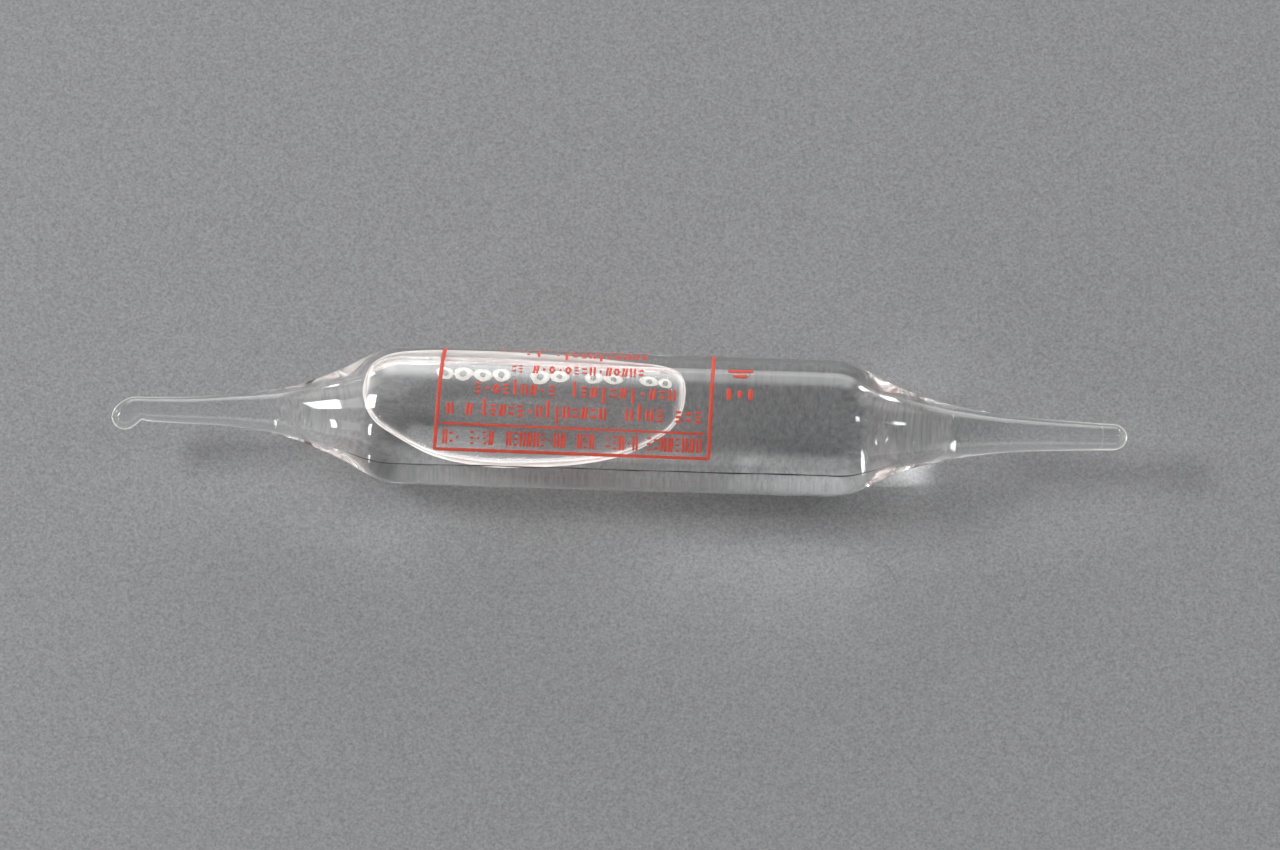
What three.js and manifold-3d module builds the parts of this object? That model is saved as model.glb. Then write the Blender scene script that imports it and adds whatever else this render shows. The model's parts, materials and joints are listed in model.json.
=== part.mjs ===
// Sealed double-pointed glass ampoule, two millilitre size.
//
// Millimetres, +Z up. The origin is on the barrel axis at mid overall length.
// +X runs along the axis to the right, towards the plain rounded point. -X runs
// to the left, towards the point that ends in a bent-over bead. -Y is the front.
// The ampoule lies on its barrel, so the gas bubble stands under the top wall.
// The enamel print lies over the top, and the white paint low on the back.
//
// The glass is one drawn envelope, held as three bodies that meet at the two
// break lines, where the points are snapped off. The liquid is three slugs that
// meet at the same lines. The bubble is a solid of its own, standing in an
// open-topped hollow in the liquid.
//
// Angles round the barrel are in degrees from the top, positive to the front.

import * as THREE from 'three';
import { mergeVertices } from 'three/addons/utils/BufferGeometryUtils.js';
import { ConvexGeometry } from 'three/addons/geometries/ConvexGeometry.js';
import Module from 'manifold-3d';

const { degToRad, radToDeg, lerp, smoothstep } = THREE.MathUtils;

// ---------------------------------------------------------- glass dimensions
const OVERALL = 72.38;        // tip to tip
const BARREL_R = 9.75 / 2;    // outside radius of the straight barrel
const BORE_RATIO = 0.8974;    // bore radius / outside radius: a 0.5 mm wall in the
                              // barrel, and the same proportion along the stems
const BARREL_SIDES = 48;      // facets round the barrel; one faces exactly down
const STEM_SIDES = 20;        // facets round the break-off points

const BREAK_L = -27.30;       // left break line
const BREAK_R = 27.14;        // right break line
const KERF = 0.03;            // gap between the faces at a break line
const BARREL_FACE_L = BREAK_L + KERF / 2;
const BARREL_FACE_R = BREAK_R - KERF / 2;
const POINT_FACE_L = BREAK_L - KERF / 2;
const POINT_FACE_R = BREAK_R + KERF / 2;

// Outside of the glass, left to right: [x, radius].
const LEFT_PROFILE = [
  [-34.09, 0.855], [-32.66, 0.897], [-30.53, 0.960], [-28.39, 1.089], [-26.97, 1.215],
  [-25.54, 1.410], [-24.12, 1.645], [-22.70, 2.051], [-21.27, 2.592], [-19.85, 3.175],
  [-18.42, 3.940], [-17.36, 4.470], [-16.40, 4.780], [-15.40, BARREL_R],
];
const RIGHT_PROFILE = [
  [15.00, BARREL_R], [15.90, 4.810], [16.70, 4.600], [17.70, 4.130], [18.60, 3.660],
  [20.03, 3.020], [21.45, 2.530], [22.87, 2.138], [24.30, 1.825], [25.72, 1.590],
  [27.14, 1.400], [29.28, 1.205], [31.42, 1.083], [34.26, 0.950],
];
const OUTLINE = [...LEFT_PROFILE, ...RIGHT_PROFILE];
const RIGHT_DOME = [[34.98, 0.926], [35.55, 0.780], [35.95, 0.520], [OVERALL / 2, 0]];

// Bores close in solid glass. End shapes: [distance in from the bore end, radius].
const BORE_END_L = -33.85;
const BORE_END_R = 34.48;
const BORE_SHAPE_L = [[0, 0], [0.12, 0.38], [0.45, 0.68]];
const BORE_SHAPE_R = [[0, 0], [0.12, 0.42], [0.45, 0.72]];
const SLUG_SHAPE_L = [[0.1, 0], [0.2, 0.32], [0.6, 0.62]];
const SLUG_SHAPE_R = [[0.1, 0], [0.2, 0.36], [0.6, 0.66]];
const BORE_END_LENGTH_L = 0.7; // no outline station is used this near the bore end
const BORE_END_LENGTH_R = 0.6;
const BORE_OVERCUT = 0.5;      // the left bore cutter runs this far past the break face

// Bent-over bead on the left tip. Centres are [x, y].
const BEAD_R = 0.954;
const BEAD_CENTRE = [BEAD_R - OVERALL / 2, -0.74];
const KNEE_R = LEFT_PROFILE[0][1];   // the stem where it bends into the bead
const KNEE_CENTRE = [-34.10, -0.14];
const BALL_SEGMENTS = [20, 12];      // round and pole to pole
const STEM_SAG = 0.11;               // how far the left stem sagged to the front
const SAG_LENGTH = 4.2;              // full sag is reached this far past the break

// ------------------------------------------------------- contents dimensions
const LIQUID_GAP = 0.05;      // radial gap between liquid and glass
const GAS_GAP = 0.05;         // gap between the bubble and the liquid around it
const MENISCUS_SAG = 1.15;    // depth of the liquid surface below its contact line
const FULL_SAG_ANGLE = 40;    // half angle from which the surface has its full depth
const MENISCUS_POWER = 0.85;  // shape of the surface across; 1 would be an ellipse
const SURFACE_STEPS = 10;     // steps across the liquid surface
const LID_STEPS = 8;          // steps back over the top
const CUTTER_LID_Z = BARREL_R + 1;

// The bubble's line of contact with the wall: [x, half angle from the top].
const BUBBLE_END_ANGLE = 1.6; // keeps the end sections from closing to a point
const BUBBLE = [
  [-18.00, BUBBLE_END_ANGLE], [-17.85, 12.5], [-17.25, 23.5], [-16.50, 32], [-15.60, 39],
  [-14.60, 45.5], [-13.40, 51], [-11.80, 55.4], [-9.60, 57.6], [-6.60, 57.4],
  [-3.60, 54.2], [-1.33, 49.2], [0.82, 42], [2.58, 33.2], [3.79, 23.2],
  [4.50, 12.5], [4.72, BUBBLE_END_ANGLE],
];

// ---------------------------------------------------------- print dimensions
const PRINT_R = BARREL_R + 0.012;           // enamel and paint stand just off the glass
const ENAMEL_T = 0.055;                     // enamel thickness
const PAINT_T = 0.07;                       // brushed white paint thickness
const PRINT_STEP = 360 / BARREL_SIDES / 2;  // largest angle step: half a barrel facet

const SLOPE_PIVOT_X = -3.2;   // sloping lines have their stated angle here
const BASELINE_SLOPE = 0.09;  // degrees towards the front per millimetre of x
const RULE_SLOPE = 0.13;

const FRAME_LEFT = -13.06;
const FRAME_RIGHT = 6.60;
const FRAME_FRONT = 48.4;     // angle of the front edge
const FRAME_BACK = -88.0;     // angle of the back edge
const FRAME_SHEAR_L = -0.0042; // slant of the left end, mm of x per degree
const FRAME_SHEAR_R = -0.0016;
const FRAME_LINE_W = 0.26;

// Each word is a plain strip as long and as tall as the word:
// [name, angle, half height in degrees, [[x start, x end] of each word]].
const LINES = [
  ['title', -72.0, 5.2, [[-8.6, -4.9], [-4.3, 2.1]]],
  ['heading', -52.6, 5.2, [[-6.9, -5.4], [-4.7, 2.0]]],
  ['substance', -28.6, 6.4, [[-7.7, -6.8], [-6.2, 1.8]]],
  ['compound', -7.0, 5.8, [[-10.3, -4.4], [-3.5, 4.1]]],
  ['dose', 11.6, 5.2, [
    [-12.2, -11.6], [-10.9, -10.2], [-9.8, -0.8], [0.4, 3.3], [3.9, 6.0],
  ]],
  ['warning', 35.4, 6.4, [
    [-12.4, -11.1], [-10.5, -8.7], [-7.9, -3.6], [-2.9, -1.6], [-0.9, 1.5], [2.0, 6.0],
  ]],
];

// Thin rule between the dose and warning lines.
const RULE_X = [-12.5, 6.15];
const RULE_ANGLE = 24.6;
const RULE_HALF_HEIGHT = 1.1; // degrees

// Marks to the right of the frame: [x start, x end, angle start, angle end].
const SIDE_MARKS = [[7.55, 9.45, -13.5, -4.6], [7.55, 9.55, -37.5, -28.0]];

// White brushed numbering, as rows of open loops: [name, x start, loops].
const LOOP_GROUPS = [
  ['first', -13.3, 4], ['second', -6.55, 2], ['third', -2.6, 2], ['fourth', 1.35, 2],
];
const LOOP_PITCH = 1.40;
const LOOP_STROKE = 0.36;
const LOOP_ANGLES = [-133.0, -108.0];
const DOT_XS = [-7.15, -3.2, 0.72];
const DOT_HALF_WIDTH = 0.22;
const DOT_ANGLE = -113.2;
const DOT_HALF_HEIGHT = 2.8;  // degrees

// ---------------------------------------------------------- geometry helpers
const wasm = await Module();
wasm.setup();

// Keeps only positions, merges shared vertices, drops collapsed triangles and
// turns the faces to point out.
function clean(source) {
  let geometry = source.clone();
  for (const name of Object.keys(geometry.attributes)) {
    if (name !== 'position') geometry.deleteAttribute(name);
  }
  geometry = mergeVertices(geometry, 1e-4);
  const position = geometry.attributes.position;
  const index = geometry.index.array;
  const corners = [new THREE.Vector3(), new THREE.Vector3(), new THREE.Vector3()];
  const kept = [];
  let volume = 0;
  for (let i = 0; i < index.length; i += 3) {
    const triangle = [index[i], index[i + 1], index[i + 2]];
    if (new Set(triangle).size < 3) continue;
    kept.push(...triangle);
    corners.forEach((corner, k) => corner.fromBufferAttribute(position, triangle[k]));
    volume += corners[0].dot(corners[1].cross(corners[2])) / 6;
  }
  if (volume < 0) {
    for (let i = 0; i < kept.length; i += 3) {
      [kept[i + 1], kept[i + 2]] = [kept[i + 2], kept[i + 1]];
    }
  }
  geometry.setIndex(kept);
  return geometry;
}

function indexed(positions, index) {
  const geometry = new THREE.BufferGeometry();
  geometry.setAttribute('position', new THREE.Float32BufferAttribute(positions, 3));
  geometry.setIndex(index);
  return clean(geometry);
}

function toSolid(source) {
  const geometry = clean(source);
  return new wasm.Manifold(new wasm.Mesh({
    numProp: 3,
    vertProperties: new Float32Array(geometry.attributes.position.array),
    triVerts: new Uint32Array(geometry.index.array),
  }));
}

function fromSolid(solid) {
  const mesh = solid.getMesh();
  return indexed(mesh.vertProperties, Array.from(mesh.triVerts));
}

// Turned solid about the X axis from [x, radius] pairs, with a facet facing down.
function turned(profile, sides) {
  const points = profile.map(([x, radius]) => new THREE.Vector2(radius, x));
  const geometry = new THREE.LatheGeometry(points, sides, Math.PI / sides, Math.PI * 2);
  geometry.rotateZ(-Math.PI / 2);
  return clean(geometry);
}

function outsideR(x) {
  const next = OUTLINE.findIndex(([stationX]) => x <= stationX);
  const [x0, r0] = OUTLINE[next - 1];
  const [x1, r1] = OUTLINE[next];
  return r0 + ((x - x0) / (x1 - x0)) * (r1 - r0);
}

const boreR = (x) => outsideR(x) * BORE_RATIO;

// Outline stations between two places, leaving out any that crowd the ends.
const END_MARGIN = 0.1;
const stationsBetween = (from, to) =>
  OUTLINE.filter(([x]) => x > from + END_MARGIN && x < to - END_MARGIN);

// Takes outside stations in to the bore, less a radial gap.
const toBore = (stations, gap = 0) => stations.map(([x, r]) => [x, r * BORE_RATIO - gap]);

// Places an end shape at a bore end; inward is the sign of x into the bore.
const endShape = (endX, inward, shape) => shape.map(([depth, r]) => [endX + inward * depth, r]);

// Bends the left stem a little towards the front.
function sag(geometry) {
  const position = geometry.attributes.position;
  for (let i = 0; i < position.count; i++) {
    const amount = smoothstep(BREAK_L - position.getX(i), 0, SAG_LENGTH);
    position.setY(i, position.getY(i) - STEM_SAG * amount);
  }
  return geometry;
}

// Evenly spaced values from start to end, no more than step apart.
function spread(start, end, step) {
  const count = Math.ceil((end - start) / step);
  return Array.from({ length: count + 1 }, (_, i) => start + ((end - start) * i) / count);
}

// A patch of film lying on the barrel. xs and angles are its grid lines.
// filled(i, j) says whether the cell from xs[i] and angles[j] to the next lines
// is covered. place(x, angle) may slant the patch.
function film(xs, angles, thickness, options = {}) {
  const { filled = () => true, place = (x, angle) => [x, angle] } = options;
  const positions = [];
  const index = [];
  const vertexIds = new Map();
  // layer is 0 on the inside of the film and 1 on the outside.
  const vertex = (i, j, layer) => {
    const key = `${i},${j},${layer}`;
    if (!vertexIds.has(key)) {
      const [x, angle] = place(xs[i], angles[j]);
      const radius = PRINT_R + layer * thickness;
      const turn = degToRad(angle);
      vertexIds.set(key, positions.length / 3);
      positions.push(x, -radius * Math.sin(turn), radius * Math.cos(turn));
    }
    return vertexIds.get(key);
  };
  const covered = (i, j) =>
    i >= 0 && j >= 0 && i < xs.length - 1 && j < angles.length - 1 && filled(i, j);
  for (let i = 0; i < xs.length - 1; i++) {
    for (let j = 0; j < angles.length - 1; j++) {
      if (!covered(i, j)) continue;
      const quad = (...corners) => {
        const [a, b, c, d] = corners.map(([di, dj, layer]) => vertex(i + di, j + dj, layer));
        index.push(a, b, c, a, c, d);
      };
      quad([0, 0, 1], [1, 0, 1], [1, 1, 1], [0, 1, 1]);
      quad([0, 0, 0], [0, 1, 0], [1, 1, 0], [1, 0, 0]);
      if (!covered(i - 1, j)) quad([0, 0, 0], [0, 0, 1], [0, 1, 1], [0, 1, 0]);
      if (!covered(i + 1, j)) quad([1, 0, 0], [1, 1, 0], [1, 1, 1], [1, 0, 1]);
      if (!covered(i, j - 1)) quad([0, 0, 0], [1, 0, 0], [1, 0, 1], [0, 0, 1]);
      if (!covered(i, j + 1)) quad([0, 1, 0], [0, 1, 1], [1, 1, 1], [1, 1, 0]);
    }
  }
  return indexed(positions, index);
}

// ----------------------------------------------------------------- materials
const standard = (settings) => new THREE.MeshStandardMaterial({ metalness: 0, ...settings });
const clear = (settings) => standard({ transparent: true, ...settings });

const glassMaterial = () => clear({ color: 0xe6eef0, roughness: 0.05, opacity: 0.35 });
const liquidMaterial = () => clear({ color: 0xdfeaf0, roughness: 0.02, opacity: 0.3 });
const gasMaterial = () => clear({ color: 0xf6f8fa, roughness: 0.02, opacity: 0.15 });
const enamelMaterial = () => standard({ color: 0xc23a2e, roughness: 0.4 });
const paintMaterial = () => standard({ color: 0xf2f1ec, roughness: 0.7 });

// --------------------------------------------------------------------- glass
function glassBarrel() {
  const outer = [
    [BARREL_FACE_L, outsideR(BARREL_FACE_L)],
    ...stationsBetween(BARREL_FACE_L, BARREL_FACE_R),
    [BARREL_FACE_R, outsideR(BARREL_FACE_R)],
  ];
  return turned([...outer, ...toBore(outer).reverse(), outer[0]], BARREL_SIDES);
}

const leftBoreStations = stationsBetween(BORE_END_L + BORE_END_LENGTH_L, POINT_FACE_L);
const rightBoreStations = stationsBetween(POINT_FACE_R, BORE_END_R - BORE_END_LENGTH_R);

// A tapering stem closed by a plain rounded tip.
function rightPoint() {
  return turned([
    ...endShape(BORE_END_R, -1, BORE_SHAPE_R),
    ...toBore(rightBoreStations).reverse(),
    [POINT_FACE_R, boreR(POINT_FACE_R)],
    [POINT_FACE_R, outsideR(POINT_FACE_R)],
    ...stationsBetween(POINT_FACE_R, Infinity),
    ...RIGHT_DOME,
  ], STEM_SIDES);
}

// Points on a ball, moved back by the sag that is put on afterwards.
function ballPoints([x, y], radius) {
  const geometry = new THREE.SphereGeometry(radius, ...BALL_SEGMENTS);
  geometry.rotateX(Math.PI / 2);
  geometry.translate(x, y + STEM_SAG, 0);
  const position = geometry.attributes.position;
  return Array.from({ length: position.count }, (_, i) =>
    new THREE.Vector3().fromBufferAttribute(position, i));
}

// A tapering stem whose sealed end is bent over into a bead.
function leftPoint() {
  const stem = toSolid(turned([
    [KNEE_CENTRE[0], 0],
    ...stationsBetween(-Infinity, POINT_FACE_L),
    [POINT_FACE_L, outsideR(POINT_FACE_L)],
    [POINT_FACE_L, 0],
  ], STEM_SIDES));
  const bead = toSolid(new ConvexGeometry([
    ...ballPoints(KNEE_CENTRE, KNEE_R),
    ...ballPoints(BEAD_CENTRE, BEAD_R),
  ]));
  const bore = toSolid(turned([
    ...endShape(BORE_END_L, 1, BORE_SHAPE_L),
    ...toBore(leftBoreStations),
    [POINT_FACE_L + BORE_OVERCUT, boreR(POINT_FACE_L)],
    [POINT_FACE_L + BORE_OVERCUT, 0],
  ], STEM_SIDES));
  return sag(fromSolid(stem.add(bead).subtract(bore)));
}

// ------------------------------------------------------------------ contents
// One cross-section of the bubble: the liquid surface from front to back, then
// back over the top along the wall or, for the cutter, along a plane above it.
function bubbleSection(x, halfAngle, isCutter) {
  const grow = isCutter ? GAS_GAP : 0;
  const wallR = boreR(x) - LIQUID_GAP - GAS_GAP / 2;
  const contactY = wallR * Math.sin(degToRad(halfAngle)) + grow;
  const contactZ = wallR * Math.cos(degToRad(halfAngle));
  const depth = MENISCUS_SAG * Math.min(1, halfAngle / FULL_SAG_ANGLE) + grow;
  const ring = [];
  for (let k = 0; k <= SURFACE_STEPS; k++) {
    const turn = Math.PI * (k / SURFACE_STEPS);
    const across = Math.cos(turn);
    ring.push([
      x,
      -contactY * Math.sign(across) * Math.abs(across) ** MENISCUS_POWER,
      contactZ - depth * Math.sin(turn) ** MENISCUS_POWER,
    ]);
  }
  for (let k = 1; k < LID_STEPS; k++) {
    const across = 1 - (2 * k) / LID_STEPS;
    const angle = degToRad(halfAngle * across);
    ring.push(isCutter
      ? [x, contactY * across, CUTTER_LID_Z]
      : [x, wallR * Math.sin(angle), wallR * Math.cos(angle)]);
  }
  return ring;
}

// The bubble, or the slightly larger cutter that hollows the liquid for it.
function bubbleShape(isCutter) {
  const endGrow = isCutter ? GAS_GAP : 0;
  const last = BUBBLE.length - 1;
  const rings = BUBBLE.map(([x, halfAngle], i) => {
    const shift = i === 0 ? -endGrow : i === last ? endGrow : 0;
    return bubbleSection(x + shift, halfAngle, isCutter);
  });
  const count = rings[0].length;
  const positions = rings.flat(2);
  const index = [];
  for (let i = 0; i < last; i++) {
    for (let k = 0; k < count; k++) {
      const here = i * count + k;
      const beside = i * count + ((k + 1) % count);
      index.push(here, beside, beside + count, here, beside + count, here + count);
    }
  }
  // Each end is closed by a fan from the middle of its ring.
  for (const end of [0, last]) {
    const centre = positions.length / 3;
    for (let axis = 0; axis < 3; axis++) {
      positions.push(rings[end].reduce((sum, point) => sum + point[axis] / count, 0));
    }
    for (let k = 0; k < count; k++) {
      const here = end * count + k;
      const beside = end * count + ((k + 1) % count);
      index.push(centre, ...(end === 0 ? [beside, here] : [here, beside]));
    }
  }
  return indexed(positions, index);
}

const slugR = (x) => boreR(x) - LIQUID_GAP;

function liquidCharge() {
  const charge = toSolid(turned([
    [BARREL_FACE_L, 0],
    [BARREL_FACE_L, slugR(BARREL_FACE_L)],
    ...toBore(stationsBetween(BARREL_FACE_L, BARREL_FACE_R), LIQUID_GAP),
    [BARREL_FACE_R, slugR(BARREL_FACE_R)],
    [BARREL_FACE_R, 0],
  ], BARREL_SIDES));
  return fromSolid(charge.subtract(toSolid(bubbleShape(true))));
}

function rightSlug() {
  return turned([
    [POINT_FACE_R, 0],
    [POINT_FACE_R, slugR(POINT_FACE_R)],
    ...toBore(rightBoreStations, LIQUID_GAP),
    ...endShape(BORE_END_R, -1, SLUG_SHAPE_R).reverse(),
  ], STEM_SIDES);
}

function leftSlug() {
  return sag(turned([
    ...endShape(BORE_END_L, 1, SLUG_SHAPE_L),
    ...toBore(leftBoreStations, LIQUID_GAP),
    [POINT_FACE_L, slugR(POINT_FACE_L)],
    [POINT_FACE_L, 0],
  ], STEM_SIDES));
}

// --------------------------------------------------------------------- print
const sloped = (slope) => (x, angle) => [x, angle + slope * (x - SLOPE_PIVOT_X)];
const alongBaseline = sloped(BASELINE_SLOPE);

// Angle grid lines with one strip of the given width (mm) along each edge.
function borderedAngles(start, end, width) {
  const strip = radToDeg(width / BARREL_R);
  return [start, ...spread(start + strip, end - strip, PRINT_STEP), end];
}

function enamelFrame() {
  const xs = [FRAME_LEFT, FRAME_LEFT + FRAME_LINE_W, FRAME_RIGHT - FRAME_LINE_W, FRAME_RIGHT];
  const angles = borderedAngles(FRAME_BACK, FRAME_FRONT, FRAME_LINE_W);
  const lastRow = angles.length - 2;
  return film(xs, angles, ENAMEL_T, {
    filled: (i, j) => i !== 1 || j === 0 || j === lastRow,
    place: (x, angle) => {
      const along = (x - FRAME_LEFT) / (FRAME_RIGHT - FRAME_LEFT);
      const shear = lerp(FRAME_SHEAR_L, FRAME_SHEAR_R, along);
      return [x + shear * (angle - FRAME_FRONT), alongBaseline(x, angle)[1]];
    },
  });
}

function enamelRule() {
  const angles = [RULE_ANGLE - RULE_HALF_HEIGHT, RULE_ANGLE, RULE_ANGLE + RULE_HALF_HEIGHT];
  return film(RULE_X, angles, ENAMEL_T, { place: sloped(RULE_SLOPE) });
}

function word(xs, angle, halfHeight) {
  const angles = spread(angle - halfHeight, angle + halfHeight, PRINT_STEP);
  return film(xs, angles, ENAMEL_T, { place: alongBaseline });
}

function sideMark([x0, x1, angle0, angle1]) {
  return film([x0, x1], spread(angle0, angle1, PRINT_STEP), ENAMEL_T);
}

// A row of loops: upright strokes joined along both edges.
function paintLoops(startX, loops) {
  const xs = [];
  for (let k = 0; k <= loops; k++) {
    const strokeX = startX + k * LOOP_PITCH;
    xs.push(strokeX, strokeX + LOOP_STROKE);
  }
  const angles = borderedAngles(...LOOP_ANGLES, LOOP_STROKE);
  const lastRow = angles.length - 2;
  return film(xs, angles, PAINT_T, {
    filled: (i, j) => i % 2 === 0 || j === 0 || j === lastRow,
  });
}

function paintDot(x) {
  const angles = [DOT_ANGLE - DOT_HALF_HEIGHT, DOT_ANGLE, DOT_ANGLE + DOT_HALF_HEIGHT];
  return film([x - DOT_HALF_WIDTH, x + DOT_HALF_WIDTH], angles, PAINT_T);
}

// ------------------------------------------------------------------ assembly
const ampoule = new THREE.Group();
const barrelGroup = new THREE.Group();
const leftGroup = new THREE.Group();
const rightGroup = new THREE.Group();
const contentsGroup = new THREE.Group();
const printGroup = new THREE.Group();
ampoule.add(barrelGroup, leftGroup, rightGroup, contentsGroup, printGroup);

function add(parent, name, geometry, material) {
  const mesh = new THREE.Mesh(geometry, material);
  mesh.name = name;
  parent.add(mesh);
}

add(barrelGroup, 'glass_barrel', glassBarrel(), glassMaterial());
add(rightGroup, 'right_break_off_point', rightPoint(), glassMaterial());
add(leftGroup, 'left_break_off_point', leftPoint(), glassMaterial());

add(contentsGroup, 'liquid_charge', liquidCharge(), liquidMaterial());
add(contentsGroup, 'gas_bubble', bubbleShape(false), gasMaterial());
add(rightGroup, 'right_point_liquid', rightSlug(), liquidMaterial());
add(leftGroup, 'left_point_liquid', leftSlug(), liquidMaterial());

const addEnamel = (name, geometry) => add(printGroup, name, geometry, enamelMaterial());
const addPaint = (name, geometry) => add(printGroup, name, geometry, paintMaterial());

addEnamel('enamel_frame', enamelFrame());
addEnamel('enamel_rule', enamelRule());
for (const [name, angle, halfHeight, words] of LINES) {
  words.forEach((xs, i) => addEnamel(`${name}_word_${i + 1}`, word(xs, angle, halfHeight)));
}
SIDE_MARKS.forEach((mark, i) => addEnamel(`side_mark_${i + 1}`, sideMark(mark)));
for (const [name, startX, loops] of LOOP_GROUPS) {
  addPaint(`${name}_paint_loops`, paintLoops(startX, loops));
}
DOT_XS.forEach((x, i) => addPaint(`paint_dot_${i + 1}`, paintDot(x)));

export default ampoule;
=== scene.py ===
"""A sealed, double-pointed glass ampoule with liquid, a gas bubble and a printed label.

The ampoule lies along X, its axis through the origin. -Y is the front, +Y the back, +Z up.
Shapes are worked out in millimetres and turned to metres when a mesh is made.
"""

import json
import math
import random

import bpy
import numpy as np
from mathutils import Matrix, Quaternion, Vector

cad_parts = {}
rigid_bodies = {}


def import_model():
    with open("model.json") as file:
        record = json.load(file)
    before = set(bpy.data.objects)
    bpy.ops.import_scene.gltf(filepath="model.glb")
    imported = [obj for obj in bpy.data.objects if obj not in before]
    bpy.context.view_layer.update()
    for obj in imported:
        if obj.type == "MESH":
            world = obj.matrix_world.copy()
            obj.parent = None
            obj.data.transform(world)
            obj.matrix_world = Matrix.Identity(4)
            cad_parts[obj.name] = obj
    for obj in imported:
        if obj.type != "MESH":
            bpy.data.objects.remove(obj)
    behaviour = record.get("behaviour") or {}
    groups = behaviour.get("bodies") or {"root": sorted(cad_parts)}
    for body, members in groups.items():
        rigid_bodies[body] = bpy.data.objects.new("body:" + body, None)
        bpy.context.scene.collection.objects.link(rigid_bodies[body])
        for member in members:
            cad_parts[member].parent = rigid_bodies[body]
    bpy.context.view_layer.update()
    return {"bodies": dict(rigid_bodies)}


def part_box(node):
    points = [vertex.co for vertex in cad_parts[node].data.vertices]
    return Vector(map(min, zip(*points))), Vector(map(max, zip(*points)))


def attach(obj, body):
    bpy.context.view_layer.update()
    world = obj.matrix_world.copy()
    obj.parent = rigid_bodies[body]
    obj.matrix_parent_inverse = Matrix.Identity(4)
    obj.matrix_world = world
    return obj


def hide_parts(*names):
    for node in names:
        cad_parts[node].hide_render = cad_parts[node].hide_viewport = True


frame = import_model()
bodies = frame["bodies"]

MM = 0.001
scene = bpy.context.scene
rng = random.Random(20)


# ---------------------------------------------------------------- sizes, mm
def box_mm(cad_node):
    low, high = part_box(cad_node)
    return np.array(low) / MM, np.array(high) / MM


CAD_SIDES = 48                                       # facets round the CAD barrel
barrel_low, barrel_high = box_mm("glass_barrel")
R = barrel_high[2] / math.cos(math.pi / CAD_SIDES)   # outside radius of the barrel
BREAK_L, BREAK_R = barrel_low[0], barrel_high[0]     # the two break lines
TIP_R = box_mm("right_break_off_point")[1][0]
BORE = 0.8974                                        # bore radius / outside radius
GAP = 0.003                                          # half the gap left at a break line
PLANE_OFFSET = 0.015                                 # from a break line to the middle of its gap
L_PLANE, R_PLANE = BREAK_L - PLANE_OFFSET, BREAK_R + PLANE_OFFSET

# Measured outside of the glass: x, radius
OUTLINE = np.array([
    (-36.2, 0.855), (-34.09, 0.855), (-33.38, 0.868), (-32.66, 0.897), (-31.24, 0.940),
    (-29.82, 0.990), (-28.39, 1.089), (-26.97, 1.215), (-26.26, 1.312), (-25.54, 1.410),
    (-24.83, 1.510), (-24.12, 1.645), (-23.41, 1.823), (-22.70, 2.051), (-21.98, 2.314),
    (-21.27, 2.592), (-20.56, 2.869), (-19.85, 3.175), (-19.14, 3.545), (-18.42, 3.950),
    (-17.71, 4.330), (-17.00, 4.640), (-16.29, 4.830), (-15.60, R), (15.05, R), (15.75, 4.850),
    (16.47, 4.710), (17.18, 4.430), (17.89, 4.045), (18.60, 3.660), (19.31, 3.318),
    (20.03, 3.020), (20.74, 2.765), (21.45, 2.530), (22.16, 2.320), (22.87, 2.138),
    (23.58, 1.975), (24.30, 1.825), (25.01, 1.700), (25.72, 1.590), (27.14, 1.400),
    (28.57, 1.258), (29.99, 1.160), (31.42, 1.083), (32.84, 1.013), (34.26, 0.955), (36.2, 0.90)])


def smoothed_outline():
    """OUTLINE sampled finely and blurred along x, never wider than the barrel."""
    step, spread, reach = 0.02, 0.42, 90      # mm, mm, samples to each side
    xs = np.arange(-36.0, 36.0, step)
    radii = np.interp(xs, OUTLINE[:, 0], OUTLINE[:, 1])
    kernel = np.exp(-0.5 * (np.arange(-reach, reach + 1) * step / spread) ** 2)
    padded = np.pad(radii, reach, mode="edge")
    return xs, np.minimum(np.convolve(padded, kernel / kernel.sum(), mode="valid"), R)


PROFILE_X, PROFILE_R = smoothed_outline()


def outside_r(x):
    return np.interp(x, PROFILE_X, PROFILE_R)


SAG_DEPTH, SAG_LENGTH = 0.11, 4.2


def sag(x):
    """How far the left point has bent to the front at x."""
    share = np.clip((BREAK_L - np.asarray(x, float)) / SAG_LENGTH, 0, 1)
    return SAG_DEPTH * share * share * (3 - 2 * share)


# -------------------------------------------------------------- mesh helpers
def new_object(name, verts, faces, materials, face_slots, sharp=()):
    """A smooth mesh object from points in mm. Faces are turned to point outwards."""
    verts = np.asarray(verts, float)
    tris = np.array([(f[0], f[i], f[i + 1]) for f in faces for i in range(1, len(f) - 1)])
    first, second, third = (verts[tris[:, i]] for i in range(3))
    if float(np.einsum("ij,ij->i", first, np.cross(second, third)).sum()) < 0:
        faces = [tuple(reversed(f)) for f in faces]
    mesh = bpy.data.meshes.new(name)
    mesh.from_pydata([tuple(v * MM) for v in verts], [], [tuple(int(i) for i in f) for f in faces])
    for material in materials:
        mesh.materials.append(material)
    mesh.polygons.foreach_set("material_index", np.asarray(face_slots, np.int32))
    mesh.polygons.foreach_set("use_smooth", np.full(len(mesh.polygons), True))
    if sharp:
        ends = np.zeros(len(mesh.edges) * 2, np.int32)
        mesh.edges.foreach_get("vertices", ends)
        ends = np.sort(ends.reshape(-1, 2), 1)
        flags = np.array([(int(start), int(end)) in sharp for start, end in ends])
        mesh.edges.foreach_set("use_edge_sharp", flags)
    mesh.update()
    ob = bpy.data.objects.new(name, mesh)
    scene.collection.objects.link(ob)
    return ob


def register(ob, body, replaces=None):
    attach(ob, body)
    if replaces:
        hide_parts(replaces)


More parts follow.
